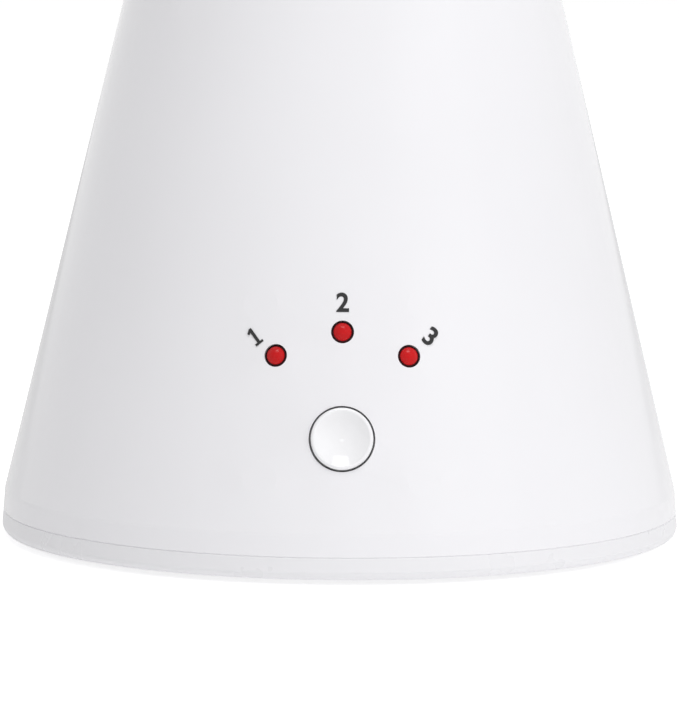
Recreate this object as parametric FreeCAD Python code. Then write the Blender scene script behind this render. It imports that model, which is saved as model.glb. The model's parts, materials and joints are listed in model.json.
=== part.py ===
import FreeCAD, Part
import math
import os

# Tower casing, millimetres
foot_proud = 1.0
base_radius = 55.0
rim_tuck = 0.6
rim_belly = 1.2
rim_height = 3.4
seam_chamfer = 0.12
skirt_height = 3.4
skirt_draft = 0.44
cone_height = 130.2
cone_top_radius = 22.96
shoulder_round = 3.0
shell_wall = 2.2
fit_gap = 0.3
run_gap = 0.07

# Cup and turning head
ball_radius = 29.0
ball_wall = 2.0
cup_gap = 1.0
cup_wall = 2.2
cup_lip = 1.54
cup_hole_gap = 1.0
head_seam_drop = 20.2
head_floor = 3.0

# Base tray and battery box
floor_thick = 2.2
lip_height = 3.6
lip_thick = 1.6
foot_radius = 5.0
foot_half_span = 21.0
foot_clearance = 1.3
foot_seat = 0.8
cell_radius = 7.25
cell_length = 50.5
nub_length = 1.0
nub_radius = 2.75
cell_gap = 0.3
cell_count = 4
spring_length = 5.6
plate_thick = 0.4
box_wall = 1.6
door_gap = 0.25
door_thick = 2.0
door_recess = 0.2

# Screws: shank radius, head radius, head height
case_screw = (1.2, 2.7, 1.8)
small_screw = (0.95, 1.8, 1.3)
tiny_screw = (0.75, 1.3, 0.9)
thread_gap = 0.05
case_screw_inset = 8.5

# Controls on the front face
button_height = 22.09
button_radius = 4.75
button_travel = 0.5
dish_radius = 4.1
dish_depth = 1.2
button_proud = 0.6
lens_radius = 1.4
lens_hole_radius = 1.75
lens_arc_radius = 16.35
lens_spread = 38.3
board_depth = 9.1
board_thick = 1.2
board_half_width = 16.0
board_low = -9.0
board_high = 24.0

# Gear train
module = 0.8
pressure = math.radians(20.0)
tooth_addendum = 0.9
tooth_dedendum = 1.2
backlash = 0.16
head_teeth = 32
idler_small_teeth = 12
idler_large_teeth = 26
pinion_teeth = 10
head_shift = -0.3
idler_small_shift = 0.3
idler_large_shift = -0.4
pinion_shift = 0.4
deck_height = 83.0
deck_thick = 2.5
deck_gap = 1.2
wheel_lift = 1.5
wheel_face = 4.0
head_gear_face = 5.0
spindle_radius = 4.6
spindle_bore = 3.05
hub_radius = 7.8
motor_reach = 18.0
motor_angle = 90.0
gearbox_length = 9.0
can_length = 15.0
lug_length = 2.0
motor_half_width = 5.0
motor_radius = 6.0
axle_radius = 1.5

# Mirror and its knob
trunnion_radius = 2.0
mirror_width = 14.0
mirror_length = 12.0
mirror_thick = 1.0
beam_drop = 15.0
knob_radius = 7.0
knob_thick = 5.0
window_half_width = 12.0
window_low = -16.5
window_high = 7.5
window_corner = 5.0

# Wiring
wire_diameter = 1.2

V = FreeCAD.Vector
X_AXIS = V(1, 0, 0)
Y_AXIS = V(0, 1, 0)
Z_AXIS = V(0, 0, 1)
far = 400.0

# Heights and radii worked out from the sizes above
base_low = foot_proud
seam_z = base_low + rim_height
shoulder_z = seam_z + skirt_height
cup_z = shoulder_z + cone_height
shoulder_radius = base_radius - skirt_draft
cone_slope = (shoulder_radius - cone_top_radius) / cone_height
seam_radius = base_radius - skirt_draft * (rim_height - rim_belly) / (rim_height - rim_belly + skirt_height)
half_angle = math.atan(cone_slope)
floor_top = base_low + floor_thick
lip_top = floor_top + lip_height + rim_height - floor_thick


def cone_radius(z):
    """Outer radius of the straight cone."""
    return shoulder_radius - cone_slope * (z - shoulder_z)


cup_radius = ball_radius + cup_gap
mouth_radius = cone_radius(cup_z) - cup_lip
ball_z = cup_z + math.sqrt(cup_radius ** 2 - mouth_radius ** 2)
ball_centre = V(0, 0, ball_z)
lip_radius = cone_radius(lip_top) - shell_wall - fit_gap
deck_z = base_low + deck_height
deck_top = deck_z + deck_thick
wheel_low = deck_top + wheel_lift
wheel_high = wheel_low + wheel_face
washer_z = wheel_high + 0.4
washer_thick = 0.4
hub_z = washer_z + washer_thick + 0.1
head_gear_high = hub_z + head_gear_face
idler_high = head_gear_high + 0.5
cover_z = idler_high + 0.5
cover_thick = 2.0
deck_radius = cone_radius(deck_top) - shell_wall - deck_gap
head_low = ball_z - math.sqrt(ball_radius ** 2 - hub_radius ** 2)
head_floor_top = head_low + head_floor
head_seam_z = ball_z - head_seam_drop
idler_reach = module * (head_teeth + idler_small_teeth) / 2
mesh_reach = module * (idler_large_teeth + pinion_teeth) / 2
idler_turn = math.degrees(math.acos((idler_reach ** 2 + motor_reach ** 2 - mesh_reach ** 2)
                                    / (2 * idler_reach * motor_reach)))
idler_angle = motor_angle - idler_turn
bay_half_width = cell_count * cell_radius + (cell_count + 1) * cell_gap / 2 + 0.25
bay_half_length = (cell_length + spring_length + 2 * plate_thick + 0.1) / 2
door_low = base_low + door_recess
door_top = door_low + door_thick
cell_z = door_top + cell_gap + cell_radius
bay_top = cell_z + cell_radius + cell_gap
box_top = bay_top + 1.7
cell_pitch = 2 * bay_half_width / cell_count
cell_x = [(i - (cell_count - 1) / 2) * cell_pitch for i in range(cell_count)]


def polar(radius, degrees, z=0.0):
    """Point at a radius and an angle about the tower's axis."""
    return V(radius * math.cos(math.radians(degrees)), radius * math.sin(math.radians(degrees)), z)


def post(radius, z_low, z_high, centre=V(0, 0, 0)):
    """Upright round bar."""
    return Part.makeCylinder(radius, z_high - z_low, V(centre.x, centre.y, z_low), Z_AXIS)


def ring(outer, inner, z_low, z_high, centre=V(0, 0, 0)):
    """Upright tube."""
    return post(outer, z_low, z_high, centre).cut(post(inner, z_low, z_high, centre))


def bar(radius, start, end):
    """Round bar between two points."""
    return Part.makeCylinder(radius, (end - start).Length, start, end - start)


def block(x, y, z):
    """Box from three (low, high) pairs."""
    return Part.makeBox(x[1] - x[0], y[1] - y[0], z[1] - z[0], V(x[0], y[0], z[0]))


def ball(radius):
    """Sphere about the head's centre."""
    return Part.makeSphere(radius, ball_centre)


def turned(steps):
    """Solid turned about Z from (r, z) corners; a pair of corners is an arc through the first to the second."""
    first = V(steps[0][0], 0, steps[0][1])
    here = first
    edges = []
    for step in steps[1:]:
        if isinstance(step[0], tuple):
            middle = V(step[0][0], 0, step[0][1])
            end = V(step[1][0], 0, step[1][1])
            edges.append(Part.Arc(here, middle, end).toShape())
        else:
            end = V(step[0], 0, step[1])
            edges.append(Part.makeLine(here, end))
        here = end
    edges.append(Part.makeLine(here, first))
    return Part.Face(Part.Wire(edges)).revolve(V(0, 0, 0), Z_AXIS, 360)


def rounded(shape, radius, chooser):
    """Fillet on the edges that the chooser accepts."""
    return shape.makeFillet(radius, [edge for edge in shape.Edges if chooser(edge)])


def join(shapes):
    """One solid from several."""
    return shapes[0].multiFuse(shapes[1:]).removeSplitter() if len(shapes) > 1 else shapes[0]


def save(shape, node):
    """Write one piece, and print what it is."""
    shape.exportStep("parts/" + node + ".step")
    print(node, len(shape.Solids), round(shape.Volume, 1), shape.isValid())


def face_place(height, azimuth=0.0):
    """Placement on the cone's face: X round the cone, Y up it, Z out of it."""
    tilt = FreeCAD.Rotation(X_AXIS, 90.0 - math.degrees(half_angle))
    turn = FreeCAD.Rotation(Z_AXIS, azimuth)
    point = turn.multVec(V(0, -cone_radius(height), height))
    return FreeCAD.Placement(point, turn.multiply(tilt))


def on_face(shape, place):
    """Copy of a shape, made in the face's own axes, set on the face."""
    copy = shape.copy()
    copy.Placement = place.multiply(copy.Placement)
    return copy


def screw(kind, seat, direction, length):
    """Pan-head screw with a cross recess; its head stands behind the seat."""
    shank_radius, head_radius, head_height = kind
    solid = post(shank_radius, 0, length).fuse(post(head_radius, -head_height, 0))
    slot_half = head_radius * 0.62
    slot_width = head_radius * 0.13
    slot_depth = (-head_height - 1, -head_height * 0.45)
    solid = solid.cut(block((-slot_half, slot_half), (-slot_width, slot_width), slot_depth))
    solid = solid.cut(block((-slot_width, slot_width), (-slot_half, slot_half), slot_depth))
    solid.Placement = FreeCAD.Placement(seat, FreeCAD.Rotation(Z_AXIS, direction))
    return solid


button_place = face_place(button_height)
button_hole_radius = button_radius + fit_gap
flange_top = -2.85
flange_low = flange_top - 0.8
plunger_top = flange_low - 0.7
switch_top = plunger_top - 1.2
switch_half = 3.0
plunger_radius = 1.65
plunger_sunk = 1.0
well_gap = 0.3
board_posts = [(x, up) for x in (-12.5, 12.5) for up in (-6.0, 20.8)]
lens_local = []
for turn_angle in (-lens_spread, 0.0, lens_spread):
    lens_local.append((lens_arc_radius * math.sin(math.radians(turn_angle)),
                       lens_arc_radius * math.cos(math.radians(turn_angle))))


def lens_place(local):
    """Placement of a mode light on the cone, square to its face."""
    height = button_height + local[1] * math.cos(half_angle)
    azimuth = math.asin(local[0] / cone_radius(height))
    height -= cone_radius(height) * (1 - math.cos(azimuth)) * math.sin(half_angle)
    return face_place(height, math.degrees(azimuth))


case_screw_spots = [polar(base_radius - case_screw_inset, angle) for angle in (30, 150, 210, 330)]
foot_reach = bay_half_length + box_wall + foot_clearance + foot_radius
foot_spots = [V(x, y, 0) for y in (foot_reach, -foot_reach) for x in (foot_half_span, -foot_half_span)]
case_boss_z = floor_top + 2.7
column_radius = 3.0
column_reach = deck_radius - 4.4
column_angles = [idler_angle + turn for turn in (70, 180, 290)]
column_top = cover_z - deck_gap
idler_spot = polar(idler_reach, idler_angle)
motor_spot = polar(motor_reach, motor_angle)
cover_post_radius = 2.5
cover_post_angles = (150, 250, 350)
cover_radius = 24.0
cover_post_reach = cover_radius - cover_post_radius - 1.0
door_screw_y = -(bay_half_length + 5.0)
ear_radius = 5.0
tab_x = (-cell_pitch, cell_pitch)


def outer_cone():
    """The casing's outer form as one solid."""
    solid = turned([(0, seam_z), (seam_radius - seam_chamfer, seam_z), (seam_radius, seam_z + seam_chamfer),
                    (shoulder_radius, shoulder_z), (cone_radius(cup_z), cup_z), (0, cup_z)])
    solid = rounded(solid, shoulder_round, lambda edge: is_circle(edge, shoulder_radius, shoulder_z))
    return rounded(solid, 0.6, lambda edge: is_circle(edge, cone_radius(cup_z), cup_z))


def is_circle(edge, radius, z):
    """True for the closed edge at this radius and height."""
    if not isinstance(edge.Curve, Part.Circle):
        return False
    return abs(edge.Curve.Radius - radius) < 0.01 and abs(edge.Curve.Center.z - z) < 0.01


def inner_cone(clearance=0.0):
    """The space inside the casing, below the cup."""
    inset = shell_wall + clearance
    solid = turned([(0, seam_z - 1), (seam_radius - inset, seam_z - 1), (seam_radius - inset, seam_z),
                    (shoulder_radius - inset, shoulder_z), (cone_radius(cup_z) - inset, cup_z), (0, cup_z)])
    return solid.cut(ball(cup_radius + cup_wall))


def make_cone_shell():
    outer = outer_cone()
    shell = outer.cut(inner_cone()).cut(ball(cup_radius))
    features = []
    for spot in case_screw_spots:
        features.append(post(3.5, case_boss_z, case_boss_z + 20, spot))
    for angle in column_angles:
        reach = polar(column_reach, angle)
        features.append(post(column_radius, deck_top, column_top, reach))
        rib = block((column_reach, column_reach + 8), (-1.2, 1.2), (deck_top, column_top))
        rib.rotate(V(0, 0, 0), Z_AXIS, angle)
        features.append(rib)
    for x, up in board_posts:
        features.append(on_face(post(2.6, -board_depth, 0, V(x, up, 0)), button_place))
    collar = ring(7.6, 6.4, -5.2, -1.0)
    features.append(on_face(collar, button_place))
    shell = join([shell] + [feature.common(outer) for feature in features])
    holes = [post(hub_radius + cup_hole_gap, cup_z - 20, cup_z)]
    for spot in case_screw_spots:
        holes.append(post(case_screw[0] + thread_gap, case_boss_z - 1, case_boss_z + 12, spot))
    for angle in column_angles:
        spot = polar(column_reach, angle)
        holes.append(post(small_screw[0] + thread_gap, deck_top - 1, deck_top + 9, spot))
    for x, up in board_posts:
        hole = post(small_screw[0] + thread_gap, -board_depth - 1, -board_depth + 4.2, V(x, up, 0))
        holes.append(on_face(hole, button_place))
    holes.append(on_face(post(button_hole_radius, -2.8, 3), button_place))
    for local in lens_local:
        holes.append(on_face(post(lens_hole_radius, -4, 3), lens_place(local)))
    for hole in holes:
        shell = shell.cut(hole)
    save(shell, "cone_shell")


def make_base_tray():
    tuck_radius = (rim_tuck ** 2 + rim_belly ** 2) / (2 * rim_tuck)
    middle = math.asin(rim_belly / tuck_radius) / 2
    belly_z = base_low + rim_belly
    rim_middle = (base_radius - tuck_radius * (1 - math.cos(middle)), belly_z - tuck_radius * math.sin(middle))
    lip_inner = lip_radius - lip_thick
    tray = turned([(0, base_low), (base_radius - rim_tuck, base_low), (rim_middle, (base_radius, belly_z)),
                   (seam_radius, seam_z - seam_chamfer), (seam_radius - seam_chamfer, seam_z),
                   (lip_radius, seam_z), (lip_radius, lip_top), (lip_inner, lip_top),
                   (lip_inner, floor_top), (0, floor_top)])
    outer_x = bay_half_width + box_wall
    outer_y = bay_half_length + box_wall
    box = block((-outer_x, outer_x), (-outer_y, outer_y), (base_low, box_top))
    screw_block = post(ear_radius + 2.5, base_low, floor_top + 5.3, V(0, door_screw_y, 0))
    bosses = [post(4.5, base_low, case_boss_z - 0.1, spot) for spot in case_screw_spots]
    tray = join([tray, box, screw_block] + bosses)
    bay = block((-bay_half_width, bay_half_width), (-bay_half_length, bay_half_length), (base_low - 1, bay_top))
    for i in range(cell_count - 1):
        rib_x = (cell_x[i] + cell_x[i + 1]) / 2
        bay = bay.cut(block((rib_x - 0.5, rib_x + 0.5), (-bay_half_length, bay_half_length),
                            (bay_top - 2, bay_top)))
    cuts = [bay]
    cuts.append(post(ear_radius + fit_gap, base_low - 1, door_top + 0.4, V(0, door_screw_y, 0)))
    cuts.append(block((-ear_radius - fit_gap, ear_radius + fit_gap), (door_screw_y, -bay_half_length + 0.1),
                      (base_low - 1, door_top + 0.4)))
    cuts.append(post(1.75, door_top, far, V(0, door_screw_y, 0)))
    for x in tab_x:
        cuts.append(block((x - 2.4, x + 2.4), (bay_half_length - 1, outer_y + 1), (floor_top, floor_top + 2.9)))
    for x in (cell_x[0], cell_x[-1]):
        cuts.append(block((x - 1.9, x + 1.9), (-bay_half_length - 0.1, -bay_half_length + plate_thick + 0.2),
                          (bay_top - 1, box_top + 1)))
    for spot in case_screw_spots:
        cuts.append(post(3.0, base_low - 1, base_low + 2.8, spot))
        cuts.append(post(case_screw[0] + 0.3, base_low, case_boss_z, spot))
    for spot in foot_spots:
        cuts.append(post(foot_radius + 0.1, base_low - 1, base_low + foot_seat, spot))
    groove = ring(base_radius - 2.6, base_radius - 3.4, base_low - 1, base_low + 0.4)
    cuts.append(groove)
    for cut in cuts:
        tray = tray.cut(cut)
    save(tray, "base_tray")


def make_feet():
    for number, spot in enumerate(foot_spots, 1):
        foot = post(foot_radius, 0, base_low + foot_seat, spot)
        foot = rounded(foot, 0.4, lambda edge: is_circle(edge, foot_radius, 0))
        foot = foot.cut(ring(3.1, 2.5, -1, 0.25, spot))
        save(foot, "rubber_foot_%d" % number)


def coil(base_point, direction, base_r, tip_r, length, turns, wire_r):
    """Conical spring of half-circle arcs, each tilted so that it climbs."""
    half_turns = 2 * turns
    edges = []
    for i in range(half_turns):
        side = 1 if i % 2 == 0 else -1
        r_a = base_r + (tip_r - base_r) * i / half_turns
        r_b = base_r + (tip_r - base_r) * (i + 1) / half_turns
        start = V(side * r_a, 0, wire_r + (length - 2 * wire_r) * i / half_turns)
        end = V(-side * r_b, 0, wire_r + (length - 2 * wire_r) * (i + 1) / half_turns)
        centre = (start + end) * 0.5
        edges.append(Part.Arc(start, centre + V(0, side * (end - start).Length / 2, 0), end).toShape())
    path = Part.Wire(edges)
    profile = Part.Wire([Part.makeCircle(wire_r, V(base_r, 0, wire_r), Y_AXIS)])
    solid = path.makePipeShell([profile], True, False)
    solid.Placement = FreeCAD.Placement(base_point, FreeCAD.Rotation(Z_AXIS, direction))
    return solid


def cell_side(index):
    """+1 where the cell's positive end points to the rear."""
    return 1 if index % 2 == 0 else -1


def make_battery_set():
    nub_end = bay_half_length - plate_thick - 0.05
    springs = []
    for i, x in enumerate(cell_x):
        side = cell_side(i)
        shoulder = side * (nub_end - nub_length)
        tail = side * (nub_end - cell_length)
        sleeve = bar(cell_radius, V(x, tail, cell_z), V(x, shoulder, cell_z))
        sleeve = sleeve.makeFillet(0.5, [e for e in sleeve.Edges if isinstance(e.Curve, Part.Circle)])
        nub = bar(nub_radius, V(x, shoulder - side, cell_z), V(x, side * nub_end, cell_z))
        save(sleeve.fuse(nub), "battery_%d" % (i + 1))
        springs.append(coil(V(x, -side * (bay_half_length - plate_thick), cell_z), V(0, side, 0),
                            4.6, 2.6, spring_length - 0.1, 4, 0.35))
    save(Part.makeCompound(springs), "battery_springs")
    plate_z = (cell_z - 4.3, cell_z + 4.7)
    wall_y = (bay_half_length - plate_thick, bay_half_length)
    bridges = ((0, 1, 1), (1, 2, -1), (2, 3, 1))
    for number, (first, second, side) in enumerate(bridges, 1):
        y = wall_y if side > 0 else (-wall_y[1], -wall_y[0])
        save(block((cell_x[first] - 5, cell_x[second] + 5), y, plate_z), "contact_bridge_%d" % number)
    for node, x in (("contact_negative", cell_x[0]), ("contact_positive", cell_x[-1])):
        y = (-wall_y[1], -wall_y[0])
        plate = block((x - 5, x + 5), y, plate_z)
        tab = block((x - 1.5, x + 1.5), y, (plate_z[1], box_top + 2.5))
        save(join([plate, tab]), node)


def make_door():
    half_x = bay_half_width - door_gap
    half_y = bay_half_length - door_gap
    door = block((-half_x, half_x), (-half_y, half_y), (door_low, door_top))
    ear = post(ear_radius, door_low, door_top, V(0, door_screw_y, 0))
    neck = block((-ear_radius, ear_radius), (door_screw_y, -half_y + 1), (door_low, door_top))
    tabs = []
    for x in tab_x:
        tabs.append(block((x - 2, x + 2), (half_y - 3, half_y), (door_top - 0.5, floor_top + 1.3)))
        tabs.append(block((x - 2, x + 2), (half_y - 0.1, bay_half_length + box_wall + 0.9),
                          (floor_top + 0.1, floor_top + 1.3)))
    door = join([door, ear, neck] + tabs)
    door = door.cut(post(1.35, door_low - 1, door_top + 1, V(0, door_screw_y, 0)))
    door = door.cut(post(2.5, door_low - 1, door_low + 1.0, V(0, door_screw_y, 0)))
    for i in range(3):
        y = -half_y + 6 + 2.4 * i
        door = door.cut(block((-9, 9), (y, y + 1.0), (door_low - 1, door_low + 0.4)))
    save(door, "battery_door")
    seat = V(0, door_screw_y, door_low + 1.0)
    kind = (1.25, 2.3, 0.9)
    save(screw(kind, seat, Z_AXIS, door_top + 3.3 - seat.z), "door_screw")


def make_button():
    rim = button_proud
    centre_n = rim - 0.1 - dish_depth
    sphere_r = (dish_radius ** 2 + dish_depth ** 2) / (2 * dish_depth)
    mid_r = dish_radius / 2
    mid_n = centre_n + sphere_r - math.sqrt(sphere_r ** 2 - mid_r ** 2)
    edge = button_radius
    cap = turned([(0, centre_n), ((mid_r, mid_n), (dish_radius, rim - 0.1)),
                  ((dish_radius + 0.25, rim), (edge - 0.15, rim - 0.1)),
                  ((edge - 0.04, rim - 0.25), (edge, rim - 0.5)),
                  (edge, flange_top), (6.0, flange_top), (6.0, flange_low), (1.5, flange_low),
                  (1.5, plunger_top), (0, plunger_top)])
    save(on_face(cap, button_place), "power_button")
    save(on_face(post(plunger_radius, switch_top - plunger_sunk, plunger_top), button_place), "switch_plunger")
    switch = block((-switch_half, switch_half), (-switch_half, switch_half), (-board_depth, switch_top))
    well_low = switch_top - plunger_sunk - button_travel - well_gap
    switch = switch.cut(post(plunger_radius + 0.1, well_low, 0))
    save(on_face(switch, button_place), "tact_switch")


def make_board():
    back = -board_depth - board_thick
    board = block((-board_half_width, board_half_width), (board_low, board_high), (back, -board_depth))
    for x, up in board_posts:
        board = board.cut(post(small_screw[0] + 0.15, back - 1, 0, V(x, up, 0)))
    save(on_face(board, button_place), "control_board")
    chip = block((-4, 4), (-5, 5), (back - 1.6, back))
    pins = []
    for i in range(6):
        y = -3.75 + 1.5 * i - 0.25
        pins.append(block((-5.6, 5.6), (y, y + 0.5), (back - 0.8, back)))
    save(on_face(join([chip] + pins), button_place), "control_chip")
    plug = block((-7, 7), (11.5, 16.5), (back - 6, back))
    save(on_face(plug, button_place), "wire_connector")
    screws = []
    for x, up in board_posts:
        seat = button_place.multVec(V(x, up, back))
        outward = button_place.Rotation.multVec(Z_AXIS)
        screws.append(screw(small_screw, seat, outward, board_thick + 4.0))
    save(Part.makeCompound(screws), "board_screws")
    lamps = []
    for x, up in lens_local:
        centre = V(x, up, 0)
        lamp = post(1.5, -board_depth, -board_depth + 3.0, centre)
        lamp = lamp.fuse(Part.makeSphere(1.5, V(x, up, -board_depth + 3.0)))
        lamps.append(lamp.fuse(post(1.9, -board_depth, -board_depth + 0.8, centre)))
    save(on_face(Part.makeCompound(lamps), button_place), "mode_leds")


def make_lenses():
    inside = inner_cone(0.05)
    for number, local in enumerate(lens_local, 1):
        place = lens_place(local)
        body_r = lens_hole_radius - 0.07
        dome = turned([(0, 0.5), ((lens_radius * 0.6, 0.36), (lens_radius, -0.15)), (lens_radius, -0.8),
                       (body_r, -0.8), (body_r, -3.0), (0, -3.0)])
        flange = on_face(post(2.6, -3.2, -1.0), place).common(inside)
        save(on_face(dome, place).fuse(flange), "mode_lens_%d" % number)


def involute(angle):
    return math.tan(angle) - angle


def gear_blank(teeth, shift, phase, z_low, z_high, centre):
    """Spur gear with true involute flanks; phase is the angle of one tooth's centre, in degrees."""
    pitch_r = module * teeth / 2
    base_r = pitch_r * math.cos(pressure)
    tip_r = pitch_r + module * (tooth_addendum + shift)
    root_r = pitch_r - module * (tooth_dedendum - shift)
    thickness = module * (math.pi / 2 + 2 * shift * math.tan(pressure)) - backlash / 2
    base_half = thickness / (2 * pitch_r) + involute(pressure)
    start_r = max(base_r, root_r)
    steps = 5

    def at(radius, angle):
        return V(radius * math.cos(angle), radius * math.sin(angle), z_low)

    def half_tooth(radius):
        return base_half - involute(math.acos(min(1.0, base_r / radius)))

    edges = []
    pitch_angle = 2 * math.pi / teeth
    root_half = half_tooth(start_r)
    tip_half = half_tooth(tip_r)
    for i in range(teeth):
        middle = math.radians(phase) + i * pitch_angle
        radii = [start_r + (tip_r - start_r) * (k / steps) ** 1.5 for k in range(steps + 1)]
        rising = [at(r, middle - half_tooth(r)) for r in radii]
        falling = [at(r, middle + half_tooth(r)) for r in reversed(radii)]
        for points in (rising, falling):
            flank = Part.BSplineCurve()
            flank.interpolate(points)
            if points is rising and root_r < start_r:
                edges.append(Part.makeLine(at(root_r, middle - root_half), points[0]))
            edges.append(flank.toShape())
            if points is rising:
                edges.append(Part.Arc(points[-1], at(tip_r, middle), falling[0]).toShape())
        if root_r < start_r:
            edges.append(Part.makeLine(falling[-1], at(root_r, middle + root_half)))
        gap_start = at(root_r, middle + root_half)
        gap_end = at(root_r, middle + pitch_angle - root_half)
        edges.append(Part.Arc(gap_start, at(root_r, middle + pitch_angle / 2), gap_end).toShape())
    solid = Part.Face(Part.Wire(edges)).extrude(V(0, 0, z_high - z_low))
    solid.translate(V(centre.x, centre.y, 0))
    return solid


def mate_phase(teeth, phase, line, mate_teeth):
    """Phase of a mating gear, so that its gap meets the other gear's tooth along the line of centres."""
    share = ((line - phase) * teeth / 360.0) % 1.0
    return line + 180.0 - (0.5 - share) * 360.0 / mate_teeth


def make_gears():
    head_phase = idler_angle
    small_phase = mate_phase(head_teeth, head_phase, idler_angle, idler_small_teeth)
    between = motor_spot - idler_spot
    line = math.degrees(math.atan2(between.y, between.x))
    large_phase = line
    pinion_phase = mate_phase(idler_large_teeth, large_phase, line, pinion_teeth)
    origin = V(0, 0, 0)
    head_gear = gear_blank(head_teeth, head_shift, head_phase, hub_z, head_gear_high, origin)
    head_gear = head_gear.fuse(post(hub_radius, hub_z, head_low))
    head_gear = head_gear.cut(post(spindle_radius + run_gap, hub_z - 1, head_low + 1))
    for angle in (0, 120, 240):
        pilot = post(tiny_screw[0] + thread_gap, head_low - 4.5, head_low + 1, polar(6.25, angle))
        head_gear = head_gear.cut(pilot)
    save(head_gear, "head_gear")
    large = gear_blank(idler_large_teeth, idler_large_shift, large_phase, wheel_low, wheel_high, idler_spot)
    small = gear_blank(idler_small_teeth, idler_small_shift, small_phase, wheel_high, idler_high, idler_spot)
    idler = large.fuse(small).fuse(post(3.0, wheel_low - 0.9, wheel_low, idler_spot))
    save(idler.cut(post(axle_radius + run_gap, 0, far, idler_spot)), "idler_gear")
    pinion = gear_blank(pinion_teeth, pinion_shift, pinion_phase, wheel_low, wheel_high, motor_spot)
    save(pinion.cut(post(axle_radius + 0.02, 0, far, motor_spot)), "motor_pinion")
    save(post(axle_radius, deck_z + 0.1, wheel_high + 0.2, motor_spot), "motor_shaft")


def make_drive_frame():
    deck = post(deck_radius, deck_z, deck_top)
    deck = deck.fuse(post(3.4, deck_z - 2.0, wheel_low - 1.1, idler_spot))
    for angle in cover_post_angles:
        deck = deck.fuse(post(cover_post_radius, deck_top, cover_z, polar(cover_post_reach, angle)))
    collar_radius = spindle_radius + 0.7
    cuts = [post(collar_radius + 0.03, 0, far), post(axle_radius + 0.03, 0, far, idler_spot)]
    cuts.append(post(3.2, 0, far, motor_spot))
    for offset in (-4.5, 4.5):
        cuts.append(post(tiny_screw[0] + 0.1, 0, far, motor_spot + V(0, offset, 0)))
    for angle in column_angles:
        cuts.append(post(small_screw[0] + 0.25, 0, far, polar(column_reach, angle)))
    for angle in cover_post_angles:
        cuts.append(post(small_screw[0] + thread_gap, cover_z - 7, far, polar(cover_post_reach, angle)))
    for cut in cuts:
        deck = deck.cut(cut)
    save(deck, "gear_deck")
    clip_z = head_floor_top + 0.3
    spindle = join([post(9.0, deck_z - 2.2, deck_z), post(collar_radius, deck_z - 0.1, washer_z),
                    post(spindle_radius, deck_z, clip_z + 1.9)])
    spindle = spindle.cut(ring(spindle_radius + 1, spindle_radius - 0.4, clip_z - 0.02, clip_z + 0.82))
    spindle = spindle.cut(post(spindle_bore, 0, far))
    save(spindle, "spindle")
    clip = ring(spindle_radius + 2.1, spindle_radius - 0.35, clip_z, clip_z + 0.8)
    clip = clip.cut(block((-3.2, 3.2), (-far, 0), (0, far)))
    save(clip, "retaining_clip")
    washer = ring(hub_radius - 0.2, spindle_radius + 0.05, washer_z, washer_z + washer_thick)
    save(washer, "thrust_washer")
    save(post(axle_radius, deck_z - 2.0, cover_z + cover_thick, idler_spot), "idler_axle")
    cover = ring(cover_radius, hub_radius + 0.9, cover_z, cover_z + cover_thick)
    cover = cover.cut(post(axle_radius + 0.03, 0, far, idler_spot))
    for angle in cover_post_angles:
        cover = cover.cut(post(small_screw[0] + 0.2, 0, far, polar(cover_post_reach, angle)))
    save(cover, "gear_cover")
    down = V(0, 0, -1)
    cover_top = cover_z + cover_thick
    spots = [polar(cover_post_reach, angle, cover_top) for angle in cover_post_angles]
    save(Part.makeCompound([screw(small_screw, s, down, 8.0) for s in spots]), "cover_screws")
    spots = [polar(column_reach, angle, deck_z) for angle in column_angles]
    save(Part.makeCompound([screw(small_screw, s, Z_AXIS, 10.5) for s in spots]), "deck_screws")


def make_motor():
    gearbox_low = deck_z - gearbox_length
    can_low = gearbox_low - can_length
    flats = (-motor_half_width, motor_half_width)
    sides = (-motor_radius, motor_radius)
    gearbox = block(flats, sides, (gearbox_low, deck_z))
    for offset in (-4.5, 4.5):
        gearbox = gearbox.cut(post(tiny_screw[0] + thread_gap, deck_z - 4, far, V(0, offset, 0)))
    gearbox = gearbox.cut(post(axle_radius + run_gap, deck_z - 1.0, far))
    gearbox.translate(motor_spot)
    save(gearbox, "motor_gearbox")
    can = post(motor_radius, can_low, gearbox_low).common(block(flats, sides, (0, far)))
    for x in (-2.5, 2.5):
        can = can.fuse(block((x - 0.9, x + 0.9), (-0.3, 0.3), (can_low - lug_length, can_low + 0.1)))
    can.translate(motor_spot)
    save(can, "motor_can")
    seats = [motor_spot + V(0, offset, deck_top) for offset in (-4.5, 4.5)]
    down = V(0, 0, -1)
    save(Part.makeCompound([screw(tiny_screw, seat, down, 5.5) for seat in seats]), "motor_screws")
    laser = post(spindle_bore - 0.05, deck_z - 6, deck_z + 7).cut(post(1.0, deck_z + 6, far))
    laser = laser.fuse(post(2.2, deck_z - 9, deck_z - 6))
    save(laser, "laser_module")


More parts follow.
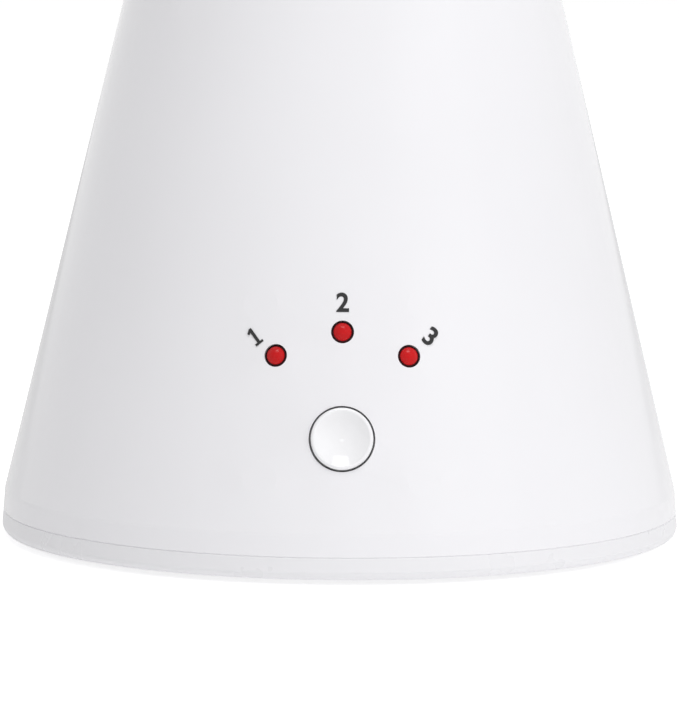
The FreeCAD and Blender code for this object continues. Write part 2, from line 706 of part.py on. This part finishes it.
def make_head():
    seam_r = math.sqrt((ball_radius - ball_wall) ** 2 - head_seam_drop ** 2)
    shell_low = block((-far, far), (-far, far), (0, head_seam_z))
    flange_z = head_seam_z + 1.4
    base = ball(ball_radius).common(shell_low)
    base = base.cut(block((-far, far), (-far, far), (0, head_low)))
    hollow = ball(ball_radius - ball_wall).common(block((-far, far), (-far, far), (head_floor_top, far)))
    base = base.cut(hollow)
    base = base.fuse(ring(seam_r - 0.3, seam_r - 1.8, head_seam_z - 2.2, flange_z + 1.0))
    base = base.fuse(ring(seam_r + 2.4, seam_r - 1.8, flange_z, flange_z + 1.0))
    base = base.cut(post(spindle_radius + run_gap, 0, far))
    seats = [polar(6.25, angle, head_floor_top - 1.2) for angle in (0, 120, 240)]
    for seat in seats:
        base = base.cut(post(tiny_screw[0] + 0.1, 0, far, seat)).cut(post(1.45, seat.z, far, seat))
    save(base, "head_base")
    down = V(0, 0, -1)
    save(Part.makeCompound([screw(tiny_screw, seat, down, 5.5) for seat in seats]), "hub_screws")

    skin = ball(ball_radius).cut(ball(ball_radius - ball_wall)).cut(shell_low)
    skin = skin.cut(post(seam_r + 2.7, flange_z - 0.2, flange_z + 1.2))
    skin = skin.cut(ring(far, ball_radius - 0.25, 0, far).common(block((-far, far), (-0.12, 0.12), (0, far))))
    trunnion_boss = trunnion_radius + 2.4
    boss_in = ball_radius - 9.5
    knob_pocket = ball_radius - 1.7
    boss_x = ball_radius - 12.0
    spots = [(x, ball_z + up) for x in (-boss_x, boss_x) for up in (17.0 - ball_radius, ball_radius - 16.0)]
    bosses = [bar(trunnion_boss, V(side * boss_in, 0, ball_z), V(side * far, 0, ball_z)) for side in (-1, 1)]
    for x, z in spots:
        bosses.append(bar(2.8, V(x, -far, z), V(x, far, z)).cut(ball(1.0)))
    skin = join([skin] + [boss.common(ball(ball_radius)) for boss in bosses])
    trunnion_bore = bar(trunnion_radius + 0.08, V(-ball_radius + 3.5, 0, ball_z), V(far, 0, ball_z))
    ring_pocket = bar(trunnion_radius + 1.6, V(knob_pocket, 0, ball_z), V(far, 0, ball_z))
    skin = skin.cut(trunnion_bore).cut(ring_pocket)
    for x, z in spots:
        skin = skin.cut(bar(small_screw[0] + thread_gap, V(x, -8, z), V(x, far, z)))
        skin = skin.cut(bar(small_screw[1] + 0.3, V(x, 8, z), V(x, far, z)))
    opening = window_prism(0.0)
    front = skin.common(block((-far, far), (-far, 0), (0, far))).cut(opening)
    rear = skin.common(block((-far, far), (0, far), (0, far)))
    save(front, "head_front_shell")
    save(rear, "head_rear_shell")
    backward = V(0, -1, 0)
    screws = [screw(small_screw, V(x, 8, z), backward, 15.0) for x, z in spots]
    save(Part.makeCompound(screws), "head_screws")

    inner = ball_radius - ball_wall - 0.05
    flange = window_prism(1.5).common(ball(inner)).cut(ball(inner - 1.0))
    flange = flange.cut(post(seam_r + 2.7, 0, flange_z + 1.3))
    pane = window_prism(-0.12).common(ball(ball_radius - 0.35)).cut(ball(inner - 1.0))
    save(flange.fuse(pane).removeSplitter(), "head_window")
    return knob_pocket


def window_prism(margin):
    """Rounded opening in the front of the head, run along Y, grown by a margin."""
    half = window_half_width + margin
    prism = block((-half, half), (-far, -ball_radius / 3),
                  (ball_z + window_low - margin, ball_z + window_high + margin))
    corner = window_corner + margin
    return rounded(prism, corner, lambda edge: abs(edge.tangentAt(edge.FirstParameter).y) > 0.9)


def make_mirror(knob_pocket):
    cheek = (mirror_width / 2 + 1.0, mirror_width / 2 + 3.0)
    arms = []
    ends = (-ball_radius + 3.8, ball_radius + 2.5)
    arms.append(bar(trunnion_radius, V(ends[0], 0, 0), V(-cheek[0], 0, 0)))
    arms.append(bar(trunnion_radius, V(cheek[0], 0, 0), V(ends[1], 0, 0)))
    for side in (-1, 1):
        arms.append(bar(trunnion_radius + 2.0, V(side * cheek[0], 0, 0), V(side * cheek[1], 0, 0)))
    plate = block((-cheek[1], cheek[1]), (-mirror_length / 2 - 0.6, mirror_length / 2 + 0.6),
                  (mirror_thick + 0.05, mirror_thick + 2.0))
    webs = [block((side * cheek[0], side * cheek[1]) if side > 0 else (-cheek[1], -cheek[0]),
                  (-3.2, 3.2), (0, mirror_thick + 1.0)) for side in (-1, 1)]
    carrier = join(arms + [plate] + webs)
    glass = block((-mirror_width / 2, mirror_width / 2), (-mirror_length / 2, mirror_length / 2),
                  (0.02, mirror_thick + 0.02))
    # The glass faces down and forward, half way between the upright beam and the beam that leaves
    tilt = FreeCAD.Rotation(X_AXIS, -(45.0 - beam_drop / 2))
    place = FreeCAD.Placement(ball_centre, tilt)
    for shape, node in ((carrier, "mirror_carrier"), (glass, "mirror")):
        shape.Placement = place
        save(shape, node)
    knob_x = ball_radius + 0.4
    centre = V(0, 0, ball_z)
    knob = bar(knob_radius, centre + V(knob_x, 0, 0), centre + V(knob_x + knob_thick, 0, 0))
    knob = rounded(knob, 0.8, lambda edge: isinstance(edge.Curve, Part.Circle)
                   and edge.Curve.Center.x > knob_x + knob_thick - 0.1)
    flutes = 18
    for i in range(flutes):
        angle = 2 * math.pi * i / flutes
        spot = V(knob_x - 1, (knob_radius + 0.35) * math.cos(angle), ball_z + (knob_radius + 0.35) * math.sin(angle))
        knob = knob.cut(bar(0.8, spot, spot + V(knob_thick + 2, 0, 0)))
    pointer = block((knob_x + knob_thick - 0.5, knob_x + knob_thick + 1), (-0.6, 0.6), (ball_z + 1.5, ball_z + 5.6))
    knob = knob.cut(pointer)
    knob = knob.cut(bar(trunnion_radius + 0.02, centre, centre + V(ends[1] + 0.1, 0, 0)))
    save(knob, "tilt_knob")
    outer = bar(trunnion_radius + 1.2, centre + V(knob_pocket + 0.15, 0, 0), centre + V(knob_x, 0, 0))
    save(outer.cut(bar(trunnion_radius + 0.03, centre, centre + V(far, 0, 0))), "friction_ring")


def wire_tube(points):
    """Wire along straight runs joined by tangent arcs as large as the runs allow."""
    edges = []
    here = points[0]
    radii = []
    for before, corner, after in zip(points, points[1:], points[2:]):
        a = before - corner
        b = after - corner
        shorter = min(a.Length, b.Length)
        a.normalize()
        b.normalize()
        turn = math.pi - a.getAngle(b)
        reach = 0.45 * shorter
        radii.append(round(reach / math.tan(turn / 2), 1))
        start = corner + a * reach
        end = corner + b * reach
        centre_line = a + b
        centre_line.normalize()
        radius = reach / math.tan(turn / 2)
        depth = radius / math.cos(turn / 2) - radius
        edges.append(Part.makeLine(here, start))
        edges.append(Part.Arc(start, corner + centre_line * depth, end).toShape())
        here = end
    edges.append(Part.makeLine(here, points[-1]))
    path = Part.Wire(edges)
    first = points[1] - points[0]
    circle = Part.Wire([Part.makeCircle(wire_diameter / 2, points[0], first)])
    tube = path.makePipeShell([circle], True, False)
    section = math.pi * (wire_diameter / 2) ** 2
    print("wire radii", radii, "volume ratio", round(tube.Volume / (section * path.Length), 3))
    return tube


def plug_entry(x):
    """The last two points of a wire, straight into the connector on the back of the board."""
    back = -board_depth - board_thick - 6.0
    return [button_place.multVec(V(x, 14, back - 5)), button_place.multVec(V(x, 14, back))]


def make_wires():
    tab_y = -bay_half_length + plate_thick / 2
    battery = []
    motor = []
    laser = []
    for side in (-1, 1):
        tab = V(side * cell_x[-1], tab_y, box_top + 2.6)
        battery.append(wire_tube([tab, tab + V(side * -0.4, 1.0, 4.5), V(side * 17.5, -22.5, tab.z + 8.6),
                                  V(side * 10.5, -21.5, tab.z + 10.3)] + plug_entry(side * 5)))
        lug = motor_spot + V(side * 2.5, 0, deck_z - gearbox_length - can_length - lug_length - 0.1)
        motor.append(wire_tube([lug, lug + V(side * -0.1, -1.2, -6), V(side * 2.0, 8.5, 43.5),
                                V(side * 1.6, -4.5, 36.5), V(side * 1.2, -16, 31.6)] + plug_entry(side)))
        tail = V(side * 1.1, 0, deck_z - 9.1)
        laser.append(wire_tube([tail, tail + V(side * 0.1, -1.0, -8.5), V(side * 2.0, -6.5, 56.5),
                                V(side * 2.6, -13.5, 45.5), V(side * 3.0, -20.0, 35.5)] + plug_entry(side * 3)))
    save(Part.makeCompound(battery), "battery_wires")
    save(Part.makeCompound(motor), "motor_wires")
    save(Part.makeCompound(laser), "laser_wires")


def make_case_screws():
    seats = [spot + V(0, 0, base_low + 2.8) for spot in case_screw_spots]
    save(Part.makeCompound([screw(case_screw, seat, Z_AXIS, 12.0) for seat in seats]), "base_screws")


os.makedirs("parts", exist_ok=True)
make_cone_shell()
make_base_tray()
make_feet()
make_battery_set()
make_door()
make_button()
make_board()
make_lenses()
make_gears()
make_drive_frame()
make_motor()
make_mirror(make_head())
make_wires()
make_case_screws()
print("ball centre", round(ball_z, 3), "button", button_place.Base)
print("lens places", [tuple(round(c, 2) for c in lens_place(local).Base) for local in lens_local])
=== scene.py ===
import json
import math

import bmesh
import bpy
from mathutils import Matrix, Vector


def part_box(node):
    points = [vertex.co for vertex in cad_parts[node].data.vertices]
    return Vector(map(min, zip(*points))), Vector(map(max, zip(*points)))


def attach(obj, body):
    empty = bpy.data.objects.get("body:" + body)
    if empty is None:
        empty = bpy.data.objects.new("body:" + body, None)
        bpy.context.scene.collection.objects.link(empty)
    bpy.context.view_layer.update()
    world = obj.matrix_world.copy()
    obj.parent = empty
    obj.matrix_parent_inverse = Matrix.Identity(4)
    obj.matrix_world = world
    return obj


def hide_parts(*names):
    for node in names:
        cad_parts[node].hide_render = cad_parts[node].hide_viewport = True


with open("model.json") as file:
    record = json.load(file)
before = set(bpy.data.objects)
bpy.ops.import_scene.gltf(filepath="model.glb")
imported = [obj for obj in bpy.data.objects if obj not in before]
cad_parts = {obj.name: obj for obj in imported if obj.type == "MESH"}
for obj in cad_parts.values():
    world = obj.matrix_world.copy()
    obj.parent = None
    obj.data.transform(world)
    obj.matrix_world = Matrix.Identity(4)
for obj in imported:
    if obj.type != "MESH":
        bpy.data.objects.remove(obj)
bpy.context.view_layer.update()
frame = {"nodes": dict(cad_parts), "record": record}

# Driving dimensions, in metres
MM = 0.001
FLOOR_SIZE = 6.0
SEAM_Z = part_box("cone_shell")[0].z
CUP_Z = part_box("cone_shell")[1].z
SKIRT_HEIGHT = 3.4 * MM
SHOULDER_Z = SEAM_Z + SKIRT_HEIGHT
SHOULDER_RADIUS = 54.56 * MM
CONE_TOP_RADIUS = 22.96 * MM
CONE_SLOPE = (SHOULDER_RADIUS - CONE_TOP_RADIUS) / (CUP_Z - SHOULDER_Z)
HALF_ANGLE = math.atan(CONE_SLOPE)
BUTTON_HEIGHT = 22.09 * MM
LENS_HOLE_RADIUS = 1.75 * MM
LENS_ARC_RADIUS = 16.35 * MM
LENS_SPREAD = math.radians(38.3)
NUMERAL_ARC_RADIUS = 20.7 * MM
NUMERAL_SPREAD = math.radians(40.0)
NUMERAL_HEIGHT = 2.9 * MM
NUMERAL_THICKNESS = 0.024 * MM

# Camera: metres, and angles in degrees
CAMERA_DISTANCE = 0.700
CAMERA_HEIGHT = 0.10667
CAMERA_DOWN = 6.294
CAMERA_ROLL = 0.359
CAMERA_YAW = 0.017
CAMERA_ORBIT = -0.3
CAMERA_LENS = 220.2
CAMERA_SENSOR = 36.0

# Light strengths
AMBIENT = 0.44
FLOOR_BOUNCE = 0.2
FLOOR_GLOW = 0.6
KEY_POWER = 6.1
TOP_POWER = 5.4


def cone_radius(z):
    """Outer radius of the straight cone at a height."""
    return SHOULDER_RADIUS - CONE_SLOPE * (z - SHOULDER_Z)


# Material helpers

def new_material(name):
    material = bpy.data.materials.new(name)
    material.use_nodes = True
    tree = material.node_tree
    shader = tree.nodes["Principled BSDF"]
    return material, tree, shader


def add_noise(tree, scale, detail=2.0):
    """Noise over the object's own coordinates."""
    place = tree.nodes.new("ShaderNodeTexCoord")
    noise = tree.nodes.new("ShaderNodeTexNoise")
    noise.inputs["Scale"].default_value = scale
    noise.inputs["Detail"].default_value = detail
    tree.links.new(place.outputs["Object"], noise.inputs["Vector"])
    return noise.outputs["Fac"]


def add_range(tree, value, low, high):
    """Value from 0 to 1, spread between two numbers."""
    node = tree.nodes.new("ShaderNodeMapRange")
    node.inputs["From Min"].default_value = 0.3
    node.inputs["From Max"].default_value = 0.7
    node.inputs["To Min"].default_value = low
    node.inputs["To Max"].default_value = high
    tree.links.new(value, node.inputs["Value"])
    return node.outputs["Result"]


def add_mix(tree, value, first, second):
    """Colour between two, led by a value."""
    node = tree.nodes.new("ShaderNodeValToRGB")
    node.color_ramp.elements[0].position = 0.35
    node.color_ramp.elements[0].color = (*first, 1)
    node.color_ramp.elements[1].position = 0.65
    node.color_ramp.elements[1].color = (*second, 1)
    tree.links.new(value, node.inputs["Fac"])
    return node.outputs["Color"]


def add_bump(tree, shader, value, distance, strength=1.0):
    node = tree.nodes.new("ShaderNodeBump")
    node.inputs["Strength"].default_value = strength
    node.inputs["Distance"].default_value = distance
    tree.links.new(value, node.inputs["Height"])
    tree.links.new(node.outputs["Normal"], shader.inputs["Normal"])


def moulded(name, colour, shade=0.985, rough=(0.14, 0.2), grain=(900.0, 0.004), coat=0.0):
    """Moulded plastic: faint flow marks in colour, uneven gloss and a fine grain."""
    material, tree, shader = new_material(name)
    flow = add_noise(tree, 28.0, 3.0)
    darker = tuple(channel * shade for channel in colour)
    tree.links.new(add_mix(tree, flow, darker, colour), shader.inputs["Base Color"])
    tree.links.new(add_range(tree, add_noise(tree, 160.0, 4.0), *rough), shader.inputs["Roughness"])
    shader.inputs["IOR"].default_value = 1.5
    shader.inputs["Coat Weight"].default_value = coat
    shader.inputs["Coat Roughness"].default_value = 0.08
    add_bump(tree, shader, add_noise(tree, grain[0], 2.0), grain[1] * MM)
    return material


def metal(name, colour, rough=(0.22, 0.36), streak=(30.0, 30.0, 900.0)):
    """Plated or turned metal with fine streaks."""
    material, tree, shader = new_material(name)
    place = tree.nodes.new("ShaderNodeTexCoord")
    stretch = tree.nodes.new("ShaderNodeMapping")
    stretch.inputs["Scale"].default_value = streak
    noise = tree.nodes.new("ShaderNodeTexNoise")
    noise.inputs["Scale"].default_value = 6.0
    noise.inputs["Detail"].default_value = 4.0
    tree.links.new(place.outputs["Object"], stretch.inputs["Vector"])
    tree.links.new(stretch.outputs["Vector"], noise.inputs["Vector"])
    darker = tuple(channel * 0.86 for channel in colour)
    tree.links.new(add_mix(tree, noise.outputs["Fac"], darker, colour), shader.inputs["Base Color"])
    tree.links.new(add_range(tree, noise.outputs["Fac"], *rough), shader.inputs["Roughness"])
    shader.inputs["Metallic"].default_value = 1.0
    add_bump(tree, shader, noise.outputs["Fac"], 0.01 * MM)
    return material


def clear_plastic(name, colour, rough, transmission):
    """Tinted see-through plastic with faint polish marks."""
    material, tree, shader = new_material(name)
    shader.inputs["Base Color"].default_value = (*colour, 1)
    shader.inputs["Transmission Weight"].default_value = transmission
    shader.inputs["IOR"].default_value = 1.49
    tree.links.new(add_range(tree, add_noise(tree, 220.0, 4.0), *rough), shader.inputs["Roughness"])
    add_bump(tree, shader, add_noise(tree, 500.0), 0.002 * MM)
    return material


def board_laminate(name):
    """Green solder mask with darker tracks showing through."""
    material, tree, shader = new_material(name)
    place = tree.nodes.new("ShaderNodeTexCoord")
    cells = tree.nodes.new("ShaderNodeTexVoronoi")
    cells.distance = "MANHATTAN"
    cells.feature = "DISTANCE_TO_EDGE"
    cells.inputs["Scale"].default_value = 260.0
    tree.links.new(place.outputs["Object"], cells.inputs["Vector"])
    ramp = tree.nodes.new("ShaderNodeValToRGB")
    ramp.color_ramp.elements[0].position = 0.05
    ramp.color_ramp.elements[0].color = (0.06, 0.33, 0.13, 1)
    ramp.color_ramp.elements[1].position = 0.09
    ramp.color_ramp.elements[1].color = (0.015, 0.16, 0.06, 1)
    tree.links.new(cells.outputs["Distance"], ramp.inputs["Fac"])
    tree.links.new(ramp.outputs["Color"], shader.inputs["Base Color"])
    tree.links.new(add_range(tree, add_noise(tree, 300.0), 0.25, 0.4), shader.inputs["Roughness"])
    return material


WHITE = (0.86, 0.854, 0.88)
palette = {
    "shell_white": moulded("shell_white", WHITE, rough=(0.16, 0.22), coat=0.25),
    "head_white": moulded("head_white", WHITE, rough=(0.16, 0.22), coat=0.25),
    "base_white": moulded("base_white", (0.83, 0.826, 0.848), rough=(0.26, 0.34)),
    "door_white": moulded("door_white", (0.80, 0.798, 0.812), rough=(0.38, 0.5), grain=(2600.0, 0.02)),
    "button_white": moulded("button_white", (0.9, 0.898, 0.915), rough=(0.12, 0.18), coat=0.4),
    "window_smoke": clear_plastic("window_smoke", (0.34, 0.26, 0.28), (0.03, 0.07), 0.92),
    "knob_grey": moulded("knob_grey", (0.18, 0.185, 0.195), 0.9, (0.34, 0.46), (2200.0, 0.015)),
    "rubber": moulded("rubber", (0.035, 0.035, 0.037), 0.85, (0.6, 0.75), (1500.0, 0.03)),
    "inner_plastic": moulded("inner_plastic", (0.06, 0.063, 0.07), 0.9, (0.35, 0.5), (1800.0, 0.015)),
    "black_plastic": moulded("black_plastic", (0.02, 0.02, 0.022), 0.9, (0.35, 0.5), (1800.0, 0.015)),
    "gear_nylon": moulded("gear_nylon", (0.75, 0.72, 0.63), 0.95, (0.3, 0.42)),
    "battery_sleeve": moulded("battery_sleeve", (0.05, 0.055, 0.065), 0.8, (0.22, 0.3), coat=0.5),
    "wire_red": moulded("wire_red", (0.45, 0.02, 0.02), 0.9, (0.4, 0.5)),
    "wire_black": moulded("wire_black", (0.02, 0.02, 0.02), 0.9, (0.4, 0.5)),
    "board_green": board_laminate("board_green"),
    "brass": metal("brass", (0.78, 0.56, 0.25)),
    "steel": metal("steel", (0.60, 0.61, 0.63)),
    "contact_metal": metal("contact_metal", (0.74, 0.74, 0.71), (0.2, 0.3)),
    "mirror_glass": metal("mirror_glass", (0.93, 0.93, 0.95), (0.015, 0.03)),
    "lens_red": moulded("lens_red", (0.6, 0.006, 0.008), 0.85, (0.16, 0.24)),
    # Dark red painted shade for the sunken gap round each lens dome, standing in for its shadow
    "lens_gap_painted_shade": moulded("lens_gap_painted_shade", (0.06, 0.003, 0.006), 0.7, (0.3, 0.4)),
    "print_black": moulded("print_black", (0.012, 0.012, 0.013), 0.7, (0.4, 0.5), (1500.0, 0.01)),
}

for slot_name in ("lens_red", "lens_gap_painted_shade"):
    palette[slot_name].node_tree.nodes["Principled BSDF"].inputs["Specular IOR Level"].default_value = 0.2

slot_of = {row["node"]: row["material_slot"] for row in frame["record"]["subparts"]}
for node, piece in frame["nodes"].items():
    for index in range(max(1, len(piece.material_slots))):
        if not piece.material_slots:
            piece.data.materials.append(palette[slot_of[node]])
        else:
            piece.material_slots[index].material = palette[slot_of[node]]


# Mesh helpers

def object_from(bm, name, material, smooth_angle=30.0):
    """New object from a bmesh, smooth but for edges sharper than the angle."""
    bmesh.ops.remove_doubles(bm, verts=bm.verts, dist=1e-7)
    bmesh.ops.recalc_face_normals(bm, faces=bm.faces)
    mesh = bpy.data.meshes.new(name)
    bm.to_mesh(mesh)
    bm.free()
    mesh.shade_smooth()
    mesh.set_sharp_from_angle(angle=math.radians(smooth_angle))
    piece = bpy.data.objects.new(name, mesh)
    bpy.context.scene.collection.objects.link(piece)
    mesh.materials.append(material)
    return piece


def face_matrix(height, azimuth=0.0):
    """Axes on the cone's face: X round it, Y up it, Z out of it."""
    turn = Matrix.Rotation(azimuth, 4, "Z")
    tilt = Matrix.Rotation(math.pi / 2 - HALF_ANGLE, 4, "X")
    point = turn @ Vector((0, -cone_radius(height), height))
    return Matrix.Translation(point) @ turn @ tilt


def spot_on_face(arc_radius, angle):
    """Height and azimuth of a point at a distance and direction from the button."""
    across = arc_radius * math.sin(angle)
    height = BUTTON_HEIGHT + arc_radius * math.cos(angle) * math.cos(HALF_ANGLE)
    azimuth = math.asin(across / cone_radius(height))
    height -= cone_radius(height) * (1 - math.cos(azimuth)) * math.sin(HALF_ANGLE)
    return height, azimuth


def arc(centre, radius, start, end, count):
    """Points of an arc in the (r, z) plane; angles in degrees."""
    points = []
    for i in range(count + 1):
        angle = math.radians(start + (end - start) * i / count)
        points.append((centre[0] + radius * math.cos(angle), centre[1] + radius * math.sin(angle)))
    return points


def turned(profile, name, material, segments=96, place=None, smooth_angle=30.0):
    """Closed solid turned about its own Z from an outline that starts and ends on the axis or closes on itself."""
    bm = bmesh.new()
    rings = []
    for radius, height in profile:
        if radius < 1e-9:
            rings.append([bm.verts.new((0, 0, height))])
            continue
        ring = []
        for i in range(segments):
            angle = 2 * math.pi * i / segments
            ring.append(bm.verts.new((radius * math.cos(angle), radius * math.sin(angle), height)))
        rings.append(ring)
    pairs = list(zip(rings, rings[1:]))
    if len(rings[0]) > 1:
        pairs.append((rings[-1], rings[0]))
    for low, high in pairs:
        for i in range(segments):
            j = (i + 1) % segments
            if len(low) == 1:
                bm.faces.new((low[0], high[i], high[j]))
            elif len(high) == 1:
                bm.faces.new((low[i], high[0], low[j]))
            else:
                bm.faces.new((low[i], high[i], high[j], low[j]))
    if place is not None:
        bm.transform(place)
    return object_from(bm, name, material, smooth_angle)


def light_area(name, place, target, size, power, mirrored):
    """Soft lamp; mirrored says whether its own shape shows in reflections."""
    lamp = bpy.data.lights.new(name, "AREA")
    lamp.shape = "RECTANGLE"
    lamp.size = size[0]
    lamp.size_y = size[1]
    lamp.energy = power
    piece = bpy.data.objects.new(name, lamp)
    piece.location = place
    piece.rotation_euler = (Vector(target) - Vector(place)).to_track_quat("-Z", "Y").to_euler()
    piece.visible_glossy = mirrored
    bpy.context.scene.collection.objects.link(piece)


# Mode lights: a red dome in a sunken ring, whose dark red is painted shade for the gap round the dome

def make_mode_lens(number, angle):
    height, azimuth = spot_on_face(LENS_ARC_RADIUS, angle)
    dome = 1.36 * MM
    collar = LENS_HOLE_RADIUS - 0.07 * MM
    crown = 0.62 * MM
    edge = -0.12 * MM
    rise = crown - edge
    sphere = (dome * dome + rise * rise) / (2 * rise)
    half = math.degrees(math.asin(dome / sphere))
    profile = arc((0, crown - sphere), sphere, 90, 90 - half, 12)
    profile[0] = (0, crown)
    profile += [(dome + 0.03 * MM, edge - 0.05 * MM), (dome + 0.03 * MM, -0.55 * MM)]
    profile += [(collar - 0.05 * MM, -0.6 * MM), (collar, -0.7 * MM), (collar, -3.0 * MM), (0, -3.0 * MM)]
    piece = turned(profile, "mode_light_%d" % number, palette["lens_red"], 64, face_matrix(height, azimuth))
    # The sunken ring and walls round the dome get a second slot of dark red painted shade, standing in for the
    # shadow in the gap
    piece.data.materials.append(palette["lens_gap_painted_shade"])
    back = face_matrix(height, azimuth).inverted()
    for polygon in piece.data.polygons:
        local = back @ polygon.center
        if math.hypot(local.x, local.y) > dome * 0.985 or local.z < edge - 0.02 * MM:
            polygon.material_index = 1
    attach(piece, "tower")
    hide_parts("mode_lens_%d" % number)


for light_number, light_angle in enumerate((-LENS_SPREAD, 0.0, LENS_SPREAD), 1):
    make_mode_lens(light_number, light_angle)


# Plain numerals printed beside the mode lights

def numeral_outline():
    """Outline of a one with a flag and a foot, in shares of its height."""
    stem = 0.085
    foot = 0.24
    bar = 0.13
    return [(-foot, -0.5), (foot, -0.5), (foot, bar - 0.5), (stem, bar - 0.5), (stem, 0.5), (-0.06, 0.5),
            (-0.26, 0.33), (-0.2, 0.22), (-stem, 0.3), (-stem, bar - 0.5), (-foot, bar - 0.5)]


def make_numeral_one(angle):
    height, azimuth = spot_on_face(NUMERAL_ARC_RADIUS, angle)
    bm = bmesh.new()
    low = [bm.verts.new((x * NUMERAL_HEIGHT, y * NUMERAL_HEIGHT, 0)) for x, y in numeral_outline()]
    high = [bm.verts.new((v.co.x, v.co.y, NUMERAL_THICKNESS)) for v in low]
    bm.faces.new(reversed(low))
    bm.faces.new(high)
    for i in range(len(low)):
        j = (i + 1) % len(low)
        bm.faces.new((low[i], low[j], high[j], high[i]))
    lean = Matrix.Rotation(-angle, 4, "Z")
    lift = Matrix.Translation((0, 0, 0.01 * MM))
    bm.transform(face_matrix(height, azimuth) @ lift @ lean)
    piece = object_from(bm, "numeral_1", palette["print_black"])
    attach(piece, "tower")


def make_numeral(text, angle):
    height, azimuth = spot_on_face(NUMERAL_ARC_RADIUS, angle)
    curve = bpy.data.curves.new("numeral_text", "FONT")
    curve.body = text
    curve.align_x = "CENTER"
    curve.align_y = "CENTER"
    curve.size = NUMERAL_HEIGHT / 0.72
    curve.offset = 0.1 * MM
    curve.extrude = 0.012 * MM
    curve.resolution_u = 8
    holder = bpy.data.objects.new("numeral_text", curve)
    bpy.context.scene.collection.objects.link(holder)
    bpy.context.view_layer.update()
    mesh = bpy.data.meshes.new_from_object(holder.evaluated_get(bpy.context.evaluated_depsgraph_get()))
    bpy.data.objects.remove(holder)
    lean = Matrix.Rotation(-angle, 4, "Z")
    lift = Matrix.Translation((0, 0, 0.02 * MM))
    mesh.transform(face_matrix(height, azimuth) @ lift @ lean)
    mesh.name = "numeral_" + text
    piece = bpy.data.objects.new("numeral_" + text, mesh)
    bpy.context.scene.collection.objects.link(piece)
    mesh.materials.clear()
    mesh.materials.append(palette["print_black"])
    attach(piece, "tower")


make_numeral_one(-NUMERAL_SPREAD)
make_numeral("2", 0.0)
make_numeral("3", NUMERAL_SPREAD)


# Floor, world and lamps

def make_floor():
    bm = bmesh.new()
    bmesh.ops.create_grid(bm, x_segments=1, y_segments=1, size=FLOOR_SIZE / 2)
    mesh = bpy.data.meshes.new("floor")
    bm.to_mesh(mesh)
    bm.free()
    piece = bpy.data.objects.new("floor", mesh)
    bpy.context.scene.collection.objects.link(piece)
    material, tree, shader = new_material("floor_white")
    shader.inputs["Base Color"].default_value = (0.9, 0.9, 0.9, 1)
    shader.inputs["Roughness"].default_value = 0.9
    shader.inputs["Specular IOR Level"].default_value = 0.0
    path = tree.nodes.new("ShaderNodeLightPath")
    seen = tree.nodes.new("ShaderNodeMapRange")
    seen.inputs["To Min"].default_value = FLOOR_BOUNCE
    seen.inputs["To Max"].default_value = FLOOR_GLOW
    tree.links.new(path.outputs["Is Camera Ray"], seen.inputs["Value"])
    shader.inputs["Emission Color"].default_value = (1, 1, 1, 1)
    tree.links.new(seen.outputs["Result"], shader.inputs["Emission Strength"])
    # Seen from below, the floor is clear, so that the underside shows
    side = tree.nodes.new("ShaderNodeNewGeometry")
    clear = tree.nodes.new("ShaderNodeBsdfTransparent")
    choose = tree.nodes.new("ShaderNodeMixShader")
    tree.links.new(side.outputs["Backfacing"], choose.inputs[0])
    tree.links.new(shader.outputs["BSDF"], choose.inputs[1])
    tree.links.new(clear.outputs["BSDF"], choose.inputs[2])
    tree.links.new(choose.outputs["Shader"], tree.nodes["Material Output"].inputs["Surface"])
    mesh.materials.append(material)


def make_world():
    """Even soft light; the camera, reflections and see-through parts see a white room."""
    world = bpy.data.worlds.new("white_room")
    bpy.context.scene.world = world
    world.use_nodes = True
    tree = world.node_tree
    background = tree.nodes["Background"]
    background.inputs["Color"].default_value = (1, 1, 1, 1)
    path = tree.nodes.new("ShaderNodeLightPath")
    first = tree.nodes.new("ShaderNodeMath")
    first.operation = "MAXIMUM"
    second = tree.nodes.new("ShaderNodeMath")
    second.operation = "MAXIMUM"
    tree.links.new(path.outputs["Is Camera Ray"], first.inputs[0])
    tree.links.new(path.outputs["Is Glossy Ray"], first.inputs[1])
    tree.links.new(first.outputs[0], second.inputs[0])
    tree.links.new(path.outputs["Is Transmission Ray"], second.inputs[1])
    level = tree.nodes.new("ShaderNodeMapRange")
    level.inputs["To Min"].default_value = AMBIENT
    level.inputs["To Max"].default_value = 1.0
    tree.links.new(second.outputs[0], level.inputs["Value"])
    tree.links.new(level.outputs["Result"], background.inputs["Strength"])


def make_camera():
    """The photograph's view: close to level, looking slightly down, with a very slight roll."""
    data = bpy.data.cameras.new("camera")
    data.sensor_fit = "AUTO"
    data.sensor_width = CAMERA_SENSOR
    data.lens = CAMERA_LENS
    data.clip_start = 0.05
    data.clip_end = 50.0
    piece = bpy.data.objects.new("camera", data)
    bpy.context.scene.collection.objects.link(piece)
    pitch = Matrix.Rotation(math.radians(90.0 - CAMERA_DOWN), 4, "X")
    roll = Matrix.Rotation(math.radians(CAMERA_ROLL), 4, "Z")
    yaw = Matrix.Rotation(math.radians(CAMERA_YAW), 4, "Z")
    orbit = Matrix.Rotation(math.radians(CAMERA_ORBIT), 4, "Z")
    place = Matrix.Translation((0, -CAMERA_DISTANCE, CAMERA_HEIGHT))
    piece.matrix_world = orbit @ place @ yaw @ pitch @ roll
    bpy.context.scene.camera = piece


make_floor()
make_world()
make_camera()
light_area("key_right", (0.95, -0.95, 0.6), (0, 0, 0.09), (0.9, 1.3), KEY_POWER, False)
light_area("top_front", (0.05, -0.45, 1.2), (0, -0.05, 0.02), (0.6, 0.5), TOP_POWER, True)

bpy.context.scene.view_settings.view_transform = "Standard"
